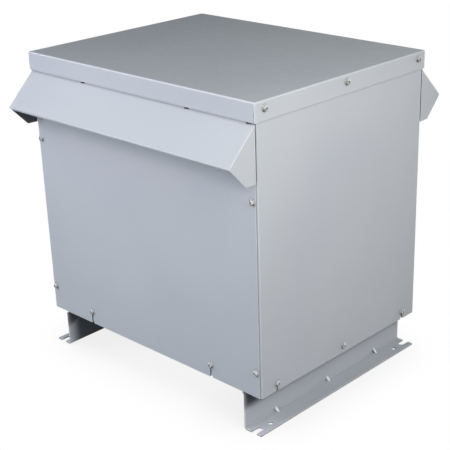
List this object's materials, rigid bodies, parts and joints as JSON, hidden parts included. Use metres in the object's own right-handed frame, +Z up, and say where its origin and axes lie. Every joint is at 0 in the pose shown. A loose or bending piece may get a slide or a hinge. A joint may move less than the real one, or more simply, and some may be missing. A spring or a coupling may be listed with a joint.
{
  "type": "three-phase dry-type transformer",
  "caption": "Three-phase dry transformer in a ventilated grey sheet-steel enclosure with front and rear weather shields, on two slotted base rails.",
  "frame": {"origin": "on the floor, at the middle of the footprint", "axes": "+X to the right along the wide front, the front with its screwed panel faces -Y, +Z up"},
  "size_m": [0.6292, 0.6102, 0.647],
  "materials": {
    "grey_enamel": "baked light grey enamel, low sheen",
    "clamp_paint": "dark grey primer, satin",
    "zinc_screws": "bright zinc",
    "zinc_bolts": "dull zinc",
    "black_rubber": "moulded rubber",
    "core_steel": "varnished laminated steel edges",
    "pressboard": "dry pressboard",
    "aluminium_foil_winding": "foil edges under varnish",
    "varnished_wrap": "varnished paper wrap",
    "glass_laminate": "glass laminate",
    "red_laminate": "glass polyester board",
    "black_lead": "insulated stranded lead",
    "aluminium_bar": "mill finish bar",
    "brass_hardware": "machined brass",
    "copper_earth": "bare copper"
  },
  "bodies": {
    "root": {"base_bolts": "zinc_bolts", "base_nuts": "zinc_bolts", "base_pan": "grey_enamel", "board_posts": "red_laminate", "bottom_yoke": "core_steel", "centre_limb": "core_steel", "clamp_bolts": "zinc_bolts", "clamp_nuts": "zinc_bolts", "coil_end_blocks": "glass_laminate", "cover_screws": "zinc_screws", "duct_spacers": "glass_laminate", "earth_bar": "copper_earth", "earth_screws": "brass_hardware", "earth_strap": "copper_earth", "floor_screen": "grey_enamel", "front_bottom_clamp": "clamp_paint", "front_core_support": "clamp_paint", "front_crossbar": "grey_enamel", "front_panel": "grey_enamel", "front_top_clamp": "clamp_paint", "front_weather_shield": "grey_enamel", "high_voltage_board": "red_laminate", "high_voltage_coil_a": "varnished_wrap", "high_voltage_coil_b": "varnished_wrap", "high_voltage_coil_c": "varnished_wrap", "high_voltage_leads_a": "black_lead", "high_voltage_leads_b": "black_lead", "high_voltage_leads_c": "black_lead", "high_voltage_studs": "brass_hardware", "isolation_pads": "black_rubber", "left_base_rail": "grey_enamel", "left_limb": "core_steel", "left_side_panel": "grey_enamel", "low_voltage_bar_a": "aluminium_bar", "low_voltage_bar_b": "aluminium_bar", "low_voltage_bar_c": "aluminium_bar", "low_voltage_board": "red_laminate", "low_voltage_bolts": "zinc_bolts", "low_voltage_coil_a": "aluminium_foil_winding", "low_voltage_coil_b": "aluminium_foil_winding", "low_voltage_coil_c": "aluminium_foil_winding", "neutral_bar": "aluminium_bar", "pad_bolts": "zinc_bolts", "pad_nuts": "zinc_bolts", "panel_screws": "zinc_screws", "rear_bottom_clamp": "clamp_paint", "rear_core_support": "clamp_paint", "rear_crossbar": "grey_enamel", "rear_panel": "grey_enamel", "rear_top_clamp": "clamp_paint", "rear_weather_shield": "grey_enamel", "right_base_rail": "grey_enamel", "right_limb": "core_steel", "right_side_panel": "grey_enamel", "shield_screws": "zinc_screws", "side_panel_screws": "zinc_screws", "terminal_nuts": "brass_hardware", "top_cover": "grey_enamel", "top_yoke": "core_steel", "winding_tubes": "pressboard"}
  },
  "joints": []
}
